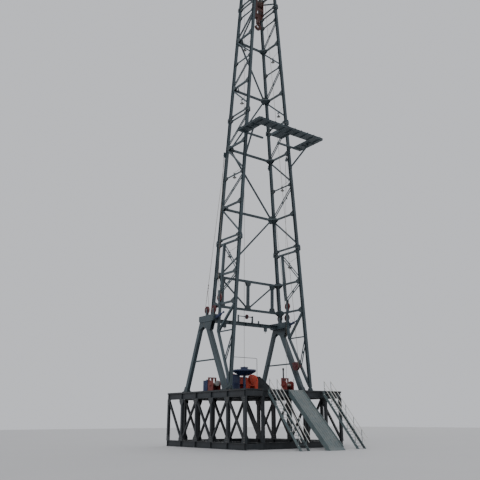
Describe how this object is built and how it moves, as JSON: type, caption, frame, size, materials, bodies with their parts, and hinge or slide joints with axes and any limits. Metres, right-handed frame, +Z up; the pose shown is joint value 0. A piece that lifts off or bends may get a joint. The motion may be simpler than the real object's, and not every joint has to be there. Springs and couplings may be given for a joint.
{
  "type": "oil drilling rig, 1:2 scale model",
  "caption": "Land drilling rig with an open-front cantilever mast on a raised drill floor, A-frame, racking board, crown, travelling block and drawworks.",
  "frame": {"origin": "on the ground, in the middle of the outline of the rig with its ramp", "axes": "+X across the drill floor to the right seen from the ramp, -Y towards the open V-door side with the ramp, +Z up along the mast"},
  "size_m": [5.3, 8, 25.3292],
  "materials": {
    "mast_green": "worn semi-gloss paint",
    "sheave_red": "worn paint",
    "crown_red": "worn paint",
    "rail_grey": "galvanised",
    "block_brown": "worn paint",
    "ramp_grey": "worn paint",
    "machine_orange": "gloss paint",
    "machine_blue": "gloss paint",
    "floor_black": "worn paint",
    "wire_rope": "greased strand",
    "rotary_iron": "worn"
  },
  "bodies": {
    "rig": {"side_box_left": "floor_black", "side_box_right": "floor_black", "floor_girders": "floor_black", "floor_deck": "floor_black", "rotary_table": "rotary_iron", "vdoor_ramp": "ramp_grey", "stair_left": "ramp_grey", "stair_right": "ramp_grey", "a_frame_left": "mast_green", "a_frame_right": "mast_green", "a_frame_beam": "mast_green", "buffer_cylinders": "machine_blue", "mast_lower_left": "mast_green", "mast_lower_right": "mast_green", "mast_middle_left": "mast_green", "mast_middle_right": "mast_green", "mast_upper_left": "mast_green", "mast_upper_right": "mast_green", "mast_top_left": "mast_green", "mast_top_right": "mast_green", "mast_back_girts": "mast_green", "mast_back_posts": "mast_green", "crown_frame": "crown_red", "crown_sheaves": "sheave_red", "crown_rails": "rail_grey", "gin_frame": "crown_red", "racking_board": "mast_green", "board_struts": "mast_green", "drilling_lines": "wire_rope", "hoist_lines": "wire_rope", "raising_lines": "wire_rope", "drawworks_frame": "machine_orange", "drawworks_hood": "machine_blue", "chain_case": "floor_black", "line_anchor": "crown_red", "floor_winches": "crown_red"},
    "travelling": {"travelling_block": "block_brown", "hook": "block_brown"},
    "drum": {"drawworks_drum": "machine_orange"},
    "mast_sheave_left": {"mast_sheave_left": "sheave_red"},
    "mast_sheave_right": {"mast_sheave_right": "sheave_red"},
    "apex_sheave_left_front": {"apex_sheave_left_front": "sheave_red"},
    "apex_sheave_right_front": {"apex_sheave_right_front": "sheave_red"},
    "apex_sheave_left_rear": {"apex_sheave_left_rear": "sheave_red"},
    "apex_sheave_right_rear": {"apex_sheave_right_rear": "sheave_red"}
  },
  "joints": [
    {"name": "block_hoist", "type": "slide", "parent": "rig", "child": "travelling", "axis": [0, 0, 1], "range_m": [-17.4, 0.3], "deforming": ["drilling_lines"]},
    {"name": "drum_turn", "type": "hinge", "parent": "rig", "child": "drum", "pos_m": [0.265, 2.15, 2.77], "axis": [1, 0, 0], "continuous": true},
    {"name": "mast_sheave_left_turn", "type": "hinge", "parent": "rig", "child": "mast_sheave_left", "pos_m": [-1.99866, 0.88, 6.26], "axis": [1, 0, 0], "continuous": true},
    {"name": "mast_sheave_right_turn", "type": "hinge", "parent": "rig", "child": "mast_sheave_right", "pos_m": [1.99866, 0.88, 6.26], "axis": [1, 0, 0], "continuous": true},
    {"name": "apex_sheave_left_front_turn", "type": "hinge", "parent": "rig", "child": "apex_sheave_left_front", "pos_m": [-2.15, 1.1, 5.755], "axis": [1, 0, 0], "continuous": true},
    {"name": "apex_sheave_right_front_turn", "type": "hinge", "parent": "rig", "child": "apex_sheave_right_front", "pos_m": [2.15, 1.1, 5.755], "axis": [1, 0, 0], "continuous": true},
    {"name": "apex_sheave_left_rear_turn", "type": "hinge", "parent": "rig", "child": "apex_sheave_left_rear", "pos_m": [-2.15, 1.625, 5.775], "axis": [1, 0, 0], "continuous": true},
    {"name": "apex_sheave_right_rear_turn", "type": "hinge", "parent": "rig", "child": "apex_sheave_right_rear", "pos_m": [2.15, 1.625, 5.775], "axis": [1, 0, 0], "continuous": true}
  ]
}
